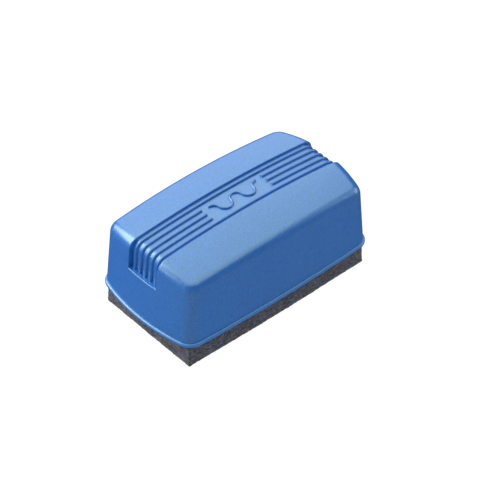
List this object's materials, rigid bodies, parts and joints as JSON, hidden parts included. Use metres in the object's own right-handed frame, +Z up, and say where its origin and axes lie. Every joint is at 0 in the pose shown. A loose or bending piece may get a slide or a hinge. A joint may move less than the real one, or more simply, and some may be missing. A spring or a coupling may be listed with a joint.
{
  "type": "chalkboard eraser",
  "caption": "Felt chalkboard eraser: a hollow moulded grip with a crowned top and a ribbed channel, closed by a plate that carries a thick felt block.",
  "frame": {"origin": "on the surface that the felt stands on, under the middle of the eraser", "axes": "+X along the eraser's length, +Y across it, +Z up from the felt to the crowned top"},
  "size_m": [0.105, 0.0584, 0.0468],
  "materials": {
    "shell_plastic": "satin moulded plastic with a fine even texture, mid blue",
    "plate_plastic": "plain moulded plastic, the same blue",
    "adhesive": "double-sided acrylic film, milky",
    "felt": "needled recycled felt, dark grey with small flecks of brown, blue, green and purple"
  },
  "bodies": {
    "root": {"shell": "shell_plastic", "base_plate": "plate_plastic", "adhesive_sheet": "adhesive", "felt_pad": "felt"}
  },
  "joints": []
}
